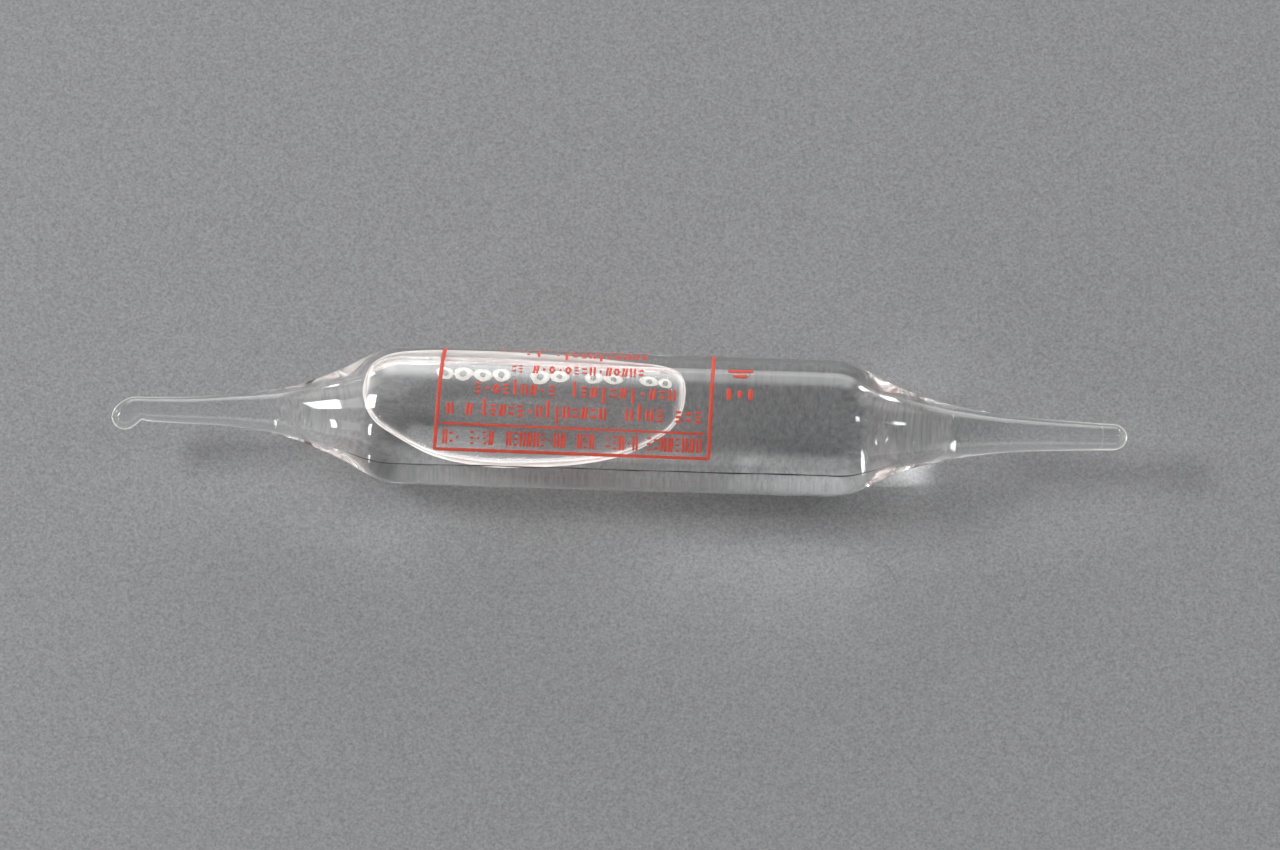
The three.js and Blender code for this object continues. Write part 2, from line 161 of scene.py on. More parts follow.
def ring(x, radius, sides, y=0.0, tilt=0.0):
    """Points round the axis at x, moved by y. tilt turns the ring about Z, in radians."""
    angle = (np.arange(sides) + 0.5) / sides * 2 * math.pi
    across, up = radius * np.sin(angle), radius * np.cos(angle)
    return np.stack([x + across * math.sin(tilt), y + across * math.cos(tilt), up], 1)


def round_end(sides, steps, x, radius, length, fullness, y=0.0, slump=0.0, tilt=0.0):
    """Rings that close from radius at x almost to a point at x + length.
    slump and tilt are the further y and the turn reached at the point."""
    rings = []
    for angle in np.linspace(0, math.pi / 2, steps)[1:-1]:
        s = math.sin(angle)
        rings.append(ring(x + length * s, radius * math.cos(angle) ** fullness, sides,
                          y + slump * s, tilt * s))
    return rings


class Loft:
    """Rings of points joined one to the next, with a material slot for each band."""

    def __init__(self, sides):
        self.sides = sides
        self.verts, self.faces, self.slots, self.sharp = [], [], [], set()

    def add(self, rings):
        """Adds rings and returns the index of each one's first point."""
        starts = []
        for points in rings:
            starts.append(len(self.verts))
            self.verts.extend(points)
        return starts

    def bands(self, starts, slot):
        for a, b in zip(starts, starts[1:]):
            for k in range(self.sides):
                k2 = (k + 1) % self.sides
                self.faces.append((a + k, b + k, b + k2, a + k2))
                self.slots.append(slot)

    def cap(self, start, centre, slot, flip):
        middle = len(self.verts)
        self.verts.append(centre)
        for k in range(self.sides):
            edge = (start + k, start + (k + 1) % self.sides)
            self.faces.append((middle, *(edge[::-1] if flip else edge)))
            self.slots.append(slot)

    def crease(self, *starts):
        for start in starts:
            for k in range(self.sides):
                edge = (start + k, start + (k + 1) % self.sides)
                self.sharp.add((min(edge), max(edge)))

    def build(self, name, materials):
        return new_object(name, self.verts, self.faces, materials, self.slots, self.sharp)


def smooth_path(points, count):
    """Catmull-Rom through rows of numbers, at even steps."""
    rows = np.asarray(points, float)
    rows = np.vstack([2 * rows[0] - rows[1], rows, 2 * rows[-1] - rows[-2]])
    path = []
    for place in np.linspace(0, len(rows) - 3 - 1e-9, count):
        i = int(place)
        t = place - i
        a, b, c, d = rows[i:i + 4]
        path.append(0.5 * ((2 * b) + (c - a) * t + (2 * a - 5 * b + 4 * c - d) * t * t
                           + (3 * b - a - 3 * c + d) * t ** 3))
    return np.array(path)


# ----------------------------------------------------------------- shading
class Shader:
    """Builds a node tree. An input may be a value, a socket, or a node (its first output)."""

    def __init__(self, owner, kind="Material"):
        owner.use_nodes = True
        self.tree = owner.node_tree
        self.tree.nodes.clear()
        self.output = self.add("Output" + kind)

    def add(self, kind, inputs=None, **settings):
        made = self.tree.nodes.new("ShaderNode" + kind)
        for key, value in settings.items():
            setattr(made, key, value)
        for key, value in (inputs or {}).items():
            if isinstance(value, bpy.types.Node):
                value = value.outputs[0]
            if isinstance(value, bpy.types.NodeSocket):
                self.tree.links.new(value, made.inputs[key])
            else:
                made.inputs[key].default_value = value
        return made

    def finish(self, surface):
        self.tree.links.new(surface.outputs[0], self.output.inputs["Surface"])

    def coords(self, kind="Object", **settings):
        return self.add("TexCoord", **settings).outputs[kind]

    def split(self, vector):
        return self.add("SeparateXYZ", {0: vector}).outputs

    def maths(self, operation, *operands):
        return self.add("Math", dict(enumerate(operands)), operation=operation)

    def noise(self, vector, scale, detail, roughness=0.5):
        return self.add("TexNoise", {"Vector": vector, "Scale": scale, "Detail": detail,
                                     "Roughness": roughness}).outputs["Fac"]

    def bump(self, height, strength, distance):
        return self.add("Bump", {"Height": height, "Strength": strength, "Distance": distance})

    def remap(self, value, start, end, to=(0.0, 1.0), interpolation="SMOOTHSTEP"):
        return self.add("MapRange", {"Value": value, "From Min": start, "From Max": end,
                                     "To Min": to[0], "To Max": to[1]},
                        interpolation_type=interpolation)

    def ramp(self, value, *stops):
        """A colour ramp. stops: (position, rgb), in rising order."""
        made = self.add("ValToRGB", {"Fac": value})
        elements = made.color_ramp.elements
        elements[0].position = stops[0][0]
        elements[1].position = stops[-1][0]
        for position, _ in stops[1:-1]:
            elements.new(position)
        for element, (_, colour) in zip(elements, stops):
            element.color = (*colour, 1)
        return made

    def facing_edge(self, start, end, amount):
        """Rises from 0 to amount where the surface turns away from the view."""
        facing = self.add("LayerWeight", {"Blend": 0.5}).outputs["Facing"]
        return self.remap(facing, start, end, to=(0.0, amount))

    def mix(self, share, first, second):
        return self.add("MixShader", {"Fac": share, 1: first, 2: second})

    def join(self, first, second):
        return self.add("AddShader", {0: first, 1: second})

    def colour(self, kind, colour=(1, 1, 1)):
        return self.add("Bsdf" + kind, {"Color": (*colour, 1)})

    def emission(self, colour, strength):
        return self.add("Emission", {"Color": colour, "Strength": strength})

    def glass(self, ior, tint=(1, 1, 1), normal=None):
        made = self.add("BsdfGlass", {"Color": (*tint, 1), "Roughness": 0.0, "IOR": ior})
        if normal is not None:
            self.tree.links.new(normal.outputs[0], made.inputs["Normal"])
        return made


def new_material(name):
    material = bpy.data.materials.new(name)
    return material, Shader(material)


N_GLASS, N_WATER = 1.50, 1.333
GLASS_TINT = (0.992, 0.996, 0.994)
OUTER_STREAKS, BORE_STREAKS = 2.0e-6, 3.0e-6     # bump depth, m


def streaks(shader, distance):
    """A fine bump of draw lines along the tube and slow waves in the glass."""
    lines_round, lines_along = 8.5, 26.0     # noise cells to a radius, and to a metre of length
    wave_scale = (160.0, 260.0, 260.0)       # cells to a metre in x, y, z
    wave_weight = 3.0
    place = shader.coords()
    # place along the tube and direction round it, so that the lines follow the necks
    axes = shader.split(place)
    across = shader.add("CombineXYZ", {"Y": axes["Y"], "Z": axes["Z"]})
    unit = shader.add("VectorMath", {0: across}, operation="NORMALIZE")
    fan = shader.add("VectorMath", {0: unit, "Scale": lines_round}, operation="SCALE")
    along = shader.maths("MULTIPLY", axes["X"], lines_along)
    along_vector = shader.add("CombineXYZ", {"X": along})
    line_place = shader.add("VectorMath", {0: fan, 1: along_vector}, operation="ADD")
    lines = shader.noise(line_place, scale=1.0, detail=3.0, roughness=0.55)
    wave_place = shader.add("Mapping", {"Vector": place, "Scale": wave_scale})
    waves = shader.noise(wave_place, scale=1.0, detail=1.0)
    height = shader.maths("MULTIPLY_ADD", waves, wave_weight, lines)
    return shader.bump(height, strength=0.45, distance=distance)


def glass_material(name, ior, tint, streak_depth):
    material, shader = new_material(name)
    shader.finish(shader.glass(ior, tint, streaks(shader, streak_depth)))
    return material


def point_glass_material(name):
    """Drawn glass with a painted light rim: a warm glow mixed in at its edges, stronger towards the
    fire-rounded tip.
    """
    material, shader = new_material(name)
    glass = shader.glass(N_GLASS, GLASS_TINT, streaks(shader, OUTER_STREAKS))
    rim = shader.facing_edge(start=0.42, end=0.95, amount=0.72)
    from_middle = shader.maths("ABSOLUTE", shader.split(shader.coords())["X"])
    towards_tip = shader.remap(from_middle, start=0.0255, end=0.0345)
    share = shader.maths("MULTIPLY", rim, towards_tip)
    # painted glow of the rim, mixed into the glass where the surface turns from the view
    light = shader.emission(colour=(1.0, 0.97, 0.91, 1), strength=0.85)
    shader.finish(shader.mix(share, glass, light))
    return material


def gas_material(name):
    """Gas against liquid, with a painted bright lip: at its steep edge a pale diffuse and
    translucent skin with a faint glow is mixed into the clear surface.
    """
    pale = (0.97, 0.93, 0.91)
    material, shader = new_material(name)
    glass = shader.glass(1 / N_WATER)
    edge = shader.facing_edge(start=0.15, end=0.62, amount=0.66)
    painted_lip_scatter = shader.mix(0.5, shader.colour("Diffuse", pale), shader.colour("Translucent", pale))
    # painted lip: the pale skin plus a faint glow
    lip = shader.join(painted_lip_scatter, shader.emission(colour=(1.0, 0.94, 0.91, 1), strength=0.30))
    shader.finish(shader.mix(edge, glass, lip))
    return material


def bore_end_material(name, amount):
    """Where a bore closes up, glass and liquid part only slightly, so the face is clear, with a
    painted light rim: pale diffuse mixed in towards its edges.
    """
    material, shader = new_material(name)
    clear = shader.colour("Transparent")
    pale = shader.colour("Diffuse", (0.95, 0.95, 0.93))
    edge = shader.facing_edge(start=0.25, end=0.95, amount=amount)
    shader.finish(shader.mix(edge, clear, pale))
    return material


def air_line_material(name):
    """Too thin to see through: mostly total reflection, so it reads as a dark hair. That darkness
    is painted shade: a dark diffuse share mixed into the glass.
    """
    material, shader = new_material(name)
    dark = shader.colour("Diffuse", (0.030, 0.031, 0.033))
    painted_dark_share = 0.66
    shader.finish(shader.mix(painted_dark_share, shader.glass(1 / N_GLASS), dark))
    return material


def clear_material(name):
    """A face with the same medium on both sides: light goes straight through."""
    material, shader = new_material(name)
    shader.finish(shader.colour("Transparent"))
    return material


def break_material(name, ior, other_body, plane_x):
    """A face at a break line: clear while the two sides meet, a real surface once apart."""
    apart = 0.0003      # m moved before the surface shows
    material, shader = new_material(name)
    other_x = shader.split(shader.coords(object=bodies[other_body]))["X"]
    moved = shader.maths("ABSOLUTE", shader.maths("SUBTRACT", other_x, plane_x * MM))
    shown = shader.maths("GREATER_THAN", moved, apart)
    shader.finish(shader.mix(shown, shader.colour("Transparent"), shader.glass(ior)))
    return material


def ink_material(name, colour, thin, rough, mottle_scale, low, high, see, bump_depth, glow,
                 lift=0.0):
    """Opaque ink with thin, speckled places that let some light through.

    thin: colour of the thin places. low, high: mottle values of thin and full ink.
    see: clearness of the thinnest places. glow: share of translucency. lift: painted glow, the tone
    added as emission.
    """
    material, shader = new_material(name)
    place = shader.coords()
    fine = shader.noise(place, mottle_scale, detail=5.0, roughness=0.7)
    wide = shader.noise(place, mottle_scale * 0.16, detail=2.0)
    fine_colour = shader.ramp(fine, (low, thin), (high, colour))
    wide_shade = shader.ramp(wide, (0.35, (0.72, 0.72, 0.72)), (0.65, (1, 1, 1)))
    tone = shader.add("Mix", {"Factor": 0.35, "A": fine_colour, "B": wide_shade},
                      data_type="RGBA", blend_type="MULTIPLY").outputs["Result"]
    surface = shader.add("BsdfPrincipled", {
        "Base Color": tone, "Roughness": rough, "Specular IOR Level": 0.3,
        "Normal": shader.bump(fine, strength=0.6, distance=bump_depth)})
    body = shader.mix(glow, surface, shader.add("BsdfTranslucent", {"Color": tone}))
    hole = shader.remap(fine, low, low + 0.16, to=(see, 0.06), interpolation="LINEAR")
    # painted glow: the ink's tone added as emission
    if lift:
        body = shader.join(body, shader.emission(tone, lift))
    shader.finish(shader.mix(hole, body, shader.add("BsdfTransparent")))
    return material


outer_glass = glass_material("drawn_glass", N_GLASS, GLASS_TINT, OUTER_STREAKS)
wet_bore = glass_material("wetted_bore", N_GLASS / N_WATER, (1, 1, 1), BORE_STREAKS)
point_glass = point_glass_material("fire_rounded_glass_painted_rim")
gas_wall = gas_material("gas_in_liquid_painted_lip")
bore_end_right = bore_end_material("right_bore_end_painted_rim", amount=0.18)
bore_end_left = bore_end_material("left_bore_end_painted_rim", amount=0.10)
air_line = air_line_material("air_in_glass_painted_dark")
liquid_skin = clear_material("clear_liquid_against_glass")
red_ink = ink_material(
    "red_enamel_ink", colour=(0.78, 0.088, 0.055), thin=(0.84, 0.16, 0.105), rough=0.42,
    mottle_scale=5200.0, low=0.30, high=0.62, see=0.22, bump_depth=6e-6, glow=0.3)
WHITE_PAINT = dict(colour=(0.93, 0.92, 0.88), thin=(0.82, 0.81, 0.77), rough=0.6,
                   mottle_scale=3800.0, low=0.28, high=0.5, bump_depth=2e-5)
white_paint = ink_material("white_brushed_paint", see=0.15, glow=0.45, **WHITE_PAINT)
# the underside of the paint, seen through the glass, is a brighter copy of it: its lift is a
# painted glow
white_underside_painted_glow = ink_material("white_paint_underside_painted_glow", see=0.12, glow=0.3, lift=0.34,
                            **WHITE_PAINT)

# --------------------------------------------------------------------- glass
GLASS_SIDES = 144
BORE_END_STEPS = 16
BORE_END_RINGS = BORE_END_STEPS - 2       # rings in the closing part of a bore
TIP_CLOSE = 0.01                          # from a left round end to its closing point

RIGHT_ROUND_X = 35.12                     # where the outside starts to round off
BORE_END_R = 34.48
RIGHT_BORE_ROUND = 0.7                    # length of the rounded bore end
RIGHT_BORE_X = BORE_END_R - RIGHT_BORE_ROUND
RIGHT_BORE_FULLNESS = 0.9

LEFT_SOFT_X = -33.3                       # where the softened end starts
LEFT_BORE_X = -33.2
LEFT_BORE_ROUND = 0.85
LEFT_BORE_END = dict(x=LEFT_BORE_X, fullness=0.85, y=-SAG_DEPTH, slump=-0.02, tilt=-0.30)
LEFT_BORE_TIP_Y = -0.135

# Slices through the softened left end, which sags to the front and gathers into a bead:
# front edge x, y, back edge x, y, half height
LEFT_BEAD = [
    (LEFT_SOFT_X, -0.972, LEFT_SOFT_X, 0.752, 0.862), (-33.66, -0.945, -33.86, 0.748, 0.856),
    (-33.84, -0.885, -34.36, 0.742, 0.860), (-33.93, -0.880, -34.78, 0.700, 0.880),
    (-34.01, -0.930, -35.12, 0.555, 0.905), (-34.12, -1.025, -35.50, 0.300, 0.930),
    (-34.26, -1.165, -35.85, -0.060, 0.945), (-34.45, -1.340, -36.04, -0.420, 0.918),
    (-34.68, -1.515, -36.11, -0.780, 0.805), (-34.93, -1.615, -36.04, -1.080, 0.617),
    (-35.20, -1.650, -35.88, -1.320, 0.380), (-35.40, -1.615, -35.70, -1.480, 0.165)]
LEFT_BEAD_TIP = (-35.56, -1.57, 0)


def bore_r(x):
    return outside_r(x) * BORE


def stations():
    """Ring places along the barrel, close together over the shoulders and necks."""
    left_x, right_x = -15.0, 14.6       # ends of the plain middle
    return np.concatenate([np.linspace(L_PLANE + GAP, left_x, 96),
                           np.linspace(left_x, right_x, 30)[1:-1],
                           np.linspace(right_x, R_PLANE - GAP, 96)])


def build_barrel():
    xs = stations()
    loft = Loft(GLASS_SIDES)
    outer = loft.add(ring(x, outside_r(x), GLASS_SIDES) for x in xs)
    inner = loft.add(ring(x, bore_r(x), GLASS_SIDES) for x in xs[::-1])
    loft.bands(outer, 0)
    loft.bands([outer[-1], inner[0]], 3)
    loft.bands(inner, 1)
    loft.bands([inner[-1], outer[0]], 2)
    loft.crease(outer[0], outer[-1], inner[0], inner[-1])
    return loft.build("glass_barrel_skin", [
        outer_glass, wet_bore,
        break_material("left_break_face_of_barrel", N_GLASS, "left_point", L_PLANE + GAP),
        break_material("right_break_face_of_barrel", N_GLASS, "right_point", R_PLANE - GAP)])


def build_point(side, plane_x, outer_rings, outer_tip, inner_rings, inner_tip, bore_end):
    """A break-off point. Outer rings run to the tip, inner rings from the bore's end back."""
    leftward = side == "left"
    loft = Loft(GLASS_SIDES)
    outer = loft.add(outer_rings)
    inner = loft.add(inner_rings)
    loft.bands(outer, 0)
    loft.cap(outer[-1], outer_tip, 0, flip=leftward)
    loft.bands(inner[:BORE_END_RINGS + 1], 3)
    loft.bands(inner[BORE_END_RINGS:], 1)
    loft.cap(inner[0], inner_tip, 3, flip=not leftward)
    loft.bands([inner[-1], outer[0]], 2)
    loft.crease(inner[-1], outer[0], inner[BORE_END_RINGS])
    break_face = break_material(f"break_face_of_{side}_point", N_GLASS, "ampoule", plane_x)
    return loft.build(f"{side}_point_skin", [point_glass, wet_bore, break_face, bore_end])


def build_left_point():
    start = L_PLANE - GAP
    outer = [ring(x, outside_r(x), GLASS_SIDES, -sag(x))
             for x in np.linspace(start, LEFT_SOFT_X, 60)]
    angle = (np.arange(GLASS_SIDES) + 0.5) / GLASS_SIDES * 2 * math.pi
    for front_x, front_y, back_x, back_y, half_z in smooth_path(LEFT_BEAD, 84)[1:]:
        mid_x, mid_y = (front_x + back_x) / 2, (front_y + back_y) / 2
        half_x, half_y = (back_x - front_x) / 2, (back_y - front_y) / 2
        outer.append(np.stack([mid_x + half_x * np.sin(angle), mid_y + half_y * np.sin(angle),
                               half_z * np.cos(angle)], 1))
    # the bore closes slantwise just short of the bead
    inner = round_end(GLASS_SIDES, BORE_END_STEPS, radius=bore_r(LEFT_BORE_X),
                      length=-LEFT_BORE_ROUND, **LEFT_BORE_END)[::-1]
    inner += [ring(x, bore_r(x), GLASS_SIDES, -sag(x))
              for x in np.linspace(LEFT_BORE_X, start, 52)]
    inner_tip = (LEFT_BORE_X - LEFT_BORE_ROUND - TIP_CLOSE, LEFT_BORE_TIP_Y, 0)
    return build_point("left", start, outer, LEFT_BEAD_TIP, inner, inner_tip, bore_end_left)


def build_right_point():
    start = R_PLANE + GAP
    outer = [ring(x, outside_r(x), GLASS_SIDES) for x in np.linspace(start, RIGHT_ROUND_X, 66)]
    # a fire-rounded end, fuller than a plain ellipse
    outer += round_end(GLASS_SIDES, 26, x=RIGHT_ROUND_X, radius=outside_r(RIGHT_ROUND_X),
                       length=TIP_R - RIGHT_ROUND_X, fullness=0.94)
    inner = round_end(GLASS_SIDES, BORE_END_STEPS, x=RIGHT_BORE_X, radius=bore_r(RIGHT_BORE_X),
                      length=RIGHT_BORE_ROUND, fullness=RIGHT_BORE_FULLNESS)[::-1]
    inner += [ring(x, bore_r(x), GLASS_SIDES) for x in np.linspace(start, RIGHT_BORE_X, 56)[::-1]]
    return build_point("right", start, outer, (TIP_R, 0, 0), inner, (BORE_END_R, 0, 0),
                       bore_end_right)


# ------------------------------------------------------------------ contents
FILM = 0.03      # liquid drawn this far inside the bore
LIQUID_SIDES = 96
SLUG_END_STEPS = 12
LEFT_SLUG_ROUND, RIGHT_SLUG_ROUND = 0.8, 0.66


def liquid_r(x):
    return bore_r(x) - FILM


def build_liquid():
    xs = stations()
    loft = Loft(LIQUID_SIDES)
    rings = loft.add(ring(x, liquid_r(x), LIQUID_SIDES) for x in xs)
    loft.bands(rings, 0)
    loft.cap(rings[0], (xs[0], 0, 0), 1, flip=True)
    loft.cap(rings[-1], (xs[-1], 0, 0), 2, flip=False)
    loft.crease(rings[0], rings[-1])
    return loft.build("liquid_in_barrel", [
        liquid_skin,
        break_material("left_end_of_liquid", N_WATER, "left_point", xs[0]),
        break_material("right_end_of_liquid", N_WATER, "right_point", xs[-1])])


def build_slug(side, start, rings, tip):
    """The liquid in one point, its rings running from the break line to the tip."""
    leftward = side == "left"
    loft = Loft(LIQUID_SIDES)
    rings = loft.add(rings)
    loft.bands(rings, 0)
    loft.cap(rings[-1], tip, 0, flip=leftward)
    loft.cap(rings[0], (start, 0, 0), 1, flip=not leftward)
    loft.crease(rings[0])
    return loft.build(f"liquid_in_{side}_point", [
        liquid_skin, break_material(f"open_end_of_{side}_slug", N_WATER, "ampoule", start)])


def build_left_slug():
    start = L_PLANE - GAP
    rings = [ring(x, liquid_r(x), LIQUID_SIDES, -sag(x))
             for x in np.linspace(start, LEFT_BORE_X, 40)]
    rings += round_end(LIQUID_SIDES, SLUG_END_STEPS, radius=liquid_r(LEFT_BORE_X),
                       length=-LEFT_SLUG_ROUND, **LEFT_BORE_END)
    tip = (LEFT_BORE_X - LEFT_SLUG_ROUND - TIP_CLOSE, LEFT_BORE_TIP_Y, 0)
    return build_slug("left", start, rings, tip)


def build_right_slug():
    start = R_PLANE + GAP
    rings = [ring(x, liquid_r(x), LIQUID_SIDES) for x in np.linspace(start, RIGHT_BORE_X, 40)]
    rings += round_end(LIQUID_SIDES, SLUG_END_STEPS, x=RIGHT_BORE_X, radius=liquid_r(RIGHT_BORE_X),
                       length=RIGHT_SLUG_ROUND, fullness=RIGHT_BORE_FULLNESS)
    return build_slug("right", start, rings, (RIGHT_BORE_X + RIGHT_SLUG_ROUND, 0, 0))


def build_air_line():
    """A hair-thin line of air in the glass wall, well round its front side."""
    sides = 10
    thickness = 0.066        # radius of the line
    in_wall = 0.955          # its distance from the axis / outside radius
    end_fade, least = 3, 0.12
    cap_out = 0.02
    xs = np.linspace(-21.8, 20.6, 260)
    around = np.arange(sides) / sides * 2 * math.pi
    loft = Loft(sides)
    last = None
    for x in xs:
        narrow = min(1.0, max(0.0, (abs(x + 0.4) - 14.6) / 6.0))     # 0 on the barrel, 1 on a neck
        place = math.radians(63.3 - 0.055 * x + 7.0 * narrow * narrow * (3 - 2 * narrow)
                             + 0.4 * math.sin(x * 0.21) + 0.2 * math.sin(x * 0.9 + 1))
        radius = thickness * min(1.0, (x - xs[0]) / end_fade + least,
                                 (xs[-1] - x) / end_fade + least)
        radius *= 0.85 + 0.15 * math.sin(x * 1.7)
        radius *= 1 - 0.45 * narrow       # drawn finer where the tube narrows
        out = in_wall * float(outside_r(x))
        y, z = -out * math.sin(place), out * math.cos(place)
        start, = loft.add([np.stack([np.full(sides, x), y + radius * np.sin(around),
                                     z + radius * np.cos(around)], 1)])
        if last is None:
            loft.cap(start, (x - cap_out, y, z), 0, flip=True)
        else:
            loft.bands([last, start], 0)
        last = start
    loft.cap(last, (xs[-1] + cap_out, y, z), 0, flip=False)
    return loft.build("drawn_air_line", [air_line])


# The bubble seen from above: distance from its right end, half width
BUBBLE_R_END = 4.72
BUBBLE_OUTLINE = [
    (0.0, 0.0), (0.21, 1.0), (0.93, 1.75), (2.14, 2.42), (3.9, 2.94), (6.05, 3.31), (8.9, 3.55),
    (13.2, 3.70), (16.0, 3.60), (17.4, 3.46), (18.5, 3.23), (19.6, 2.86), (20.3, 2.56),
    (21.0, 2.18), (21.7, 1.66), (22.4, 0.95), (22.72, 0.0)]
BUBBLE_SIDES = 160
BUBBLE_CLEAR = 0.055      # from the bubble to the bore
BUBBLE_WIDEST = 0.925     # greatest half width / wall radius
SOLE = 1.25               # depth below the widest line
MENISCUS = 1.0            # width of the turned-up edge of the underside
ROOF_POWER = 2.7          # superellipse power of the upper half
WALL_POWER = 16.0         # sharpness of the blend into the wall


def bubble_rows():
    """Rows of x, half width from the right nose to the left, and the x of the two noses."""
    points = np.array([(BUBBLE_R_END - back, half) for back, half in BUBBLE_OUTLINE])
    # carry the outline on past each nose, mirrored, so that the noses come out round
    full = np.vstack([points[1:4][::-1] * (1, -1), points, points[-4:-1][::-1] * (1, -1)])
    curve = smooth_path(full, 900)
    steps = np.linalg.norm(np.diff(curve, axis=0), axis=1)
    length = np.concatenate([[0], np.cumsum(steps)])
    keep = curve[:, 1] > 0
    kept = slice(np.argmax(keep), len(keep) - np.argmax(keep[::-1]))
    curve, length = curve[kept], length[kept]
    ease = np.linspace(0, 1, 240)
    ease = ease - 0.11 * np.sin(2 * math.pi * ease)       # closer rings at the two noses
    at = length[0] + (length[-1] - length[0]) * ease
    rows = np.stack([np.interp(at, length, curve[:, i]) for i in range(2)], 1)
    for _ in range(2):      # even out the measured outline
        rows[1:-1] = (rows[:-2] + 2 * rows[1:-1] + rows[2:]) / 4
    return rows, float(np.max(curve[:, 0])), float(np.min(curve[:, 0]))


def ease_in(distance, reach):
    """0 at no distance, 1 from reach on. Its square root is a quarter circle."""
    return 1 - (1 - min(1, distance / reach)) ** 2


def bubble_underside(across, down, half, sole):
    """Distance to a flat surface that turns up to the glass in a round meniscus."""
    turn = np.minimum(MENISCUS, half * 0.98)
    down = np.maximum(down, 1e-6)      # the upper half is worked out too, but not used
    flat = sole / down
    square = (across / turn) ** 2 + (down / sole) ** 2
    linear = -2 * across * (half - turn) / turn ** 2
    constant = ((half - turn) / turn) ** 2 - 1
    root = np.sqrt(np.maximum(linear * linear - 4 * square * constant, 0))
    curved = (-linear + root) / (2 * square)
    return np.where(flat * across <= half - turn, flat, curved)


def bubble_section(x, half, right_x, left_x):
    """The ring of points at x, and its centre."""
    angle = (np.arange(BUBBLE_SIDES) + 0.5) / BUBBLE_SIDES * 2 * math.pi
    sin_a, cos_a = np.sin(angle), np.cos(angle)
    wall = float(bore_r(x)) - BUBBLE_CLEAR
    near = min(right_x - x, x - left_x)
    tip = near + 0.004                 # distance in from the nearer tip
    widest = wall * BUBBLE_WIDEST
    half = min(half * (1.065 + 0.10 * math.exp(-near / 1.6)), widest)
    # the widest line lies where the gas leaves the wall, and under the roof at the two noses
    at_wall = math.asin(half / wall)
    natural = wall * math.cos(at_wall)
    z_mid = natural - 0.30 * math.log1p(math.exp((natural - (wall - 0.52)) / 0.30))
    roof = (wall - z_mid + 0.25) * (1.0 + 0.9 * min(1, tip / 2.5)) * math.sqrt(ease_in(tip, 0.85))
    sole = SOLE * math.sqrt(ease_in(tip, 1.15))
    to_wall = -z_mid * cos_a + np.sqrt((z_mid * cos_a) ** 2 - z_mid * z_mid + wall * wall)
    # the two noses cling a little way round the wall to the back, and keep a full front side
    lean_right = math.radians(14.0) * math.exp(-((right_x - x) / 3.2) ** 2)
    lean_left = math.radians(13.0) * math.exp(-((x - left_x) / 6.0) ** 2)
    lean = lean_right + lean_left
    fill_left = math.radians(13.0) * math.exp(-((x - left_x) / 5.2) ** 3)
    front_turn = at_wall + (0.5 * lean_right + 0.8 * fill_left) * ease_in(tip, 1.2)
    back_turn = at_wall + 0.75 * lean_left * ease_in(tip, 0.7)
    front = max(half, min(wall * math.sin(front_turn), widest))
    back = max(half, min(wall * math.sin(back_turn), widest))
    half = half + (front - half) * np.clip(-sin_a, 0, 1) + (back - half) * np.clip(sin_a, 0, 1)
    upper = ((np.abs(sin_a) / half) ** ROOF_POWER
             + (np.maximum(cos_a, 0) / roof) ** ROOF_POWER) ** (-1 / ROOF_POWER)
    lower = bubble_underside(np.abs(sin_a), -cos_a, half, sole)
    skin = np.where(cos_a >= 0, upper, lower)
    reach = (to_wall ** -WALL_POWER + skin ** -WALL_POWER) ** (-1 / WALL_POWER)
    y, z = reach * sin_a, z_mid + reach * cos_a
    points = np.stack([np.full(BUBBLE_SIDES, x), y * math.cos(lean) + z * math.sin(lean),
                       z * math.cos(lean) - y * math.sin(lean)], 1)
    return points, (z_mid * math.sin(lean), z_mid * math.cos(lean))


def build_bubble():
    rows, right_x, left_x = bubble_rows()
    sections = [bubble_section(x, half, right_x, left_x) for x, half in rows]
    loft = Loft(BUBBLE_SIDES)
    rings = loft.add(points for points, _ in sections)
    loft.bands(rings, 0)
    cap_out = 0.002
    loft.cap(rings[0], (right_x + cap_out, *sections[0][1]), 0, flip=True)
    loft.cap(rings[-1], (left_x - cap_out, *sections[-1][1]), 0, flip=False)
    return loft.build("gas_bubble_skin", [gas_wall])


register(build_barrel(), "ampoule", "glass_barrel")
register(build_left_point(), "left_point", "left_break_off_point")
register(build_right_point(), "right_point", "right_break_off_point")
register(build_liquid(), "liquid", "liquid_charge")
register(build_left_slug(), "left_point", "left_point_liquid")
register(build_right_slug(), "right_point", "right_point_liquid")
register(build_air_line(), "ampoule")
register(build_bubble(), "bubble", "gas_bubble")

# --------------------------------------------------------------------- print
PRINT_BASE = R - 0.006            # radius of a stroke's underside, just in the glass
INK_H, PAINT_H = 0.034, 0.06      # height of a stroke
# Cross-section of a stroke: place across / half width, lift / height
STROKE_SECTION = [(-1.0, 0.0), (-0.86, 0.72), (0.0, 1.0), (0.86, 0.72), (1.0, 0.0)]

# Materials for the outside and the underside of a stroke, its height, and its slot
RED = ([red_ink, red_ink], INK_H, "red_enamel")
WHITE = ([white_paint, white_underside_painted_glow], PAINT_H, "white_paint")


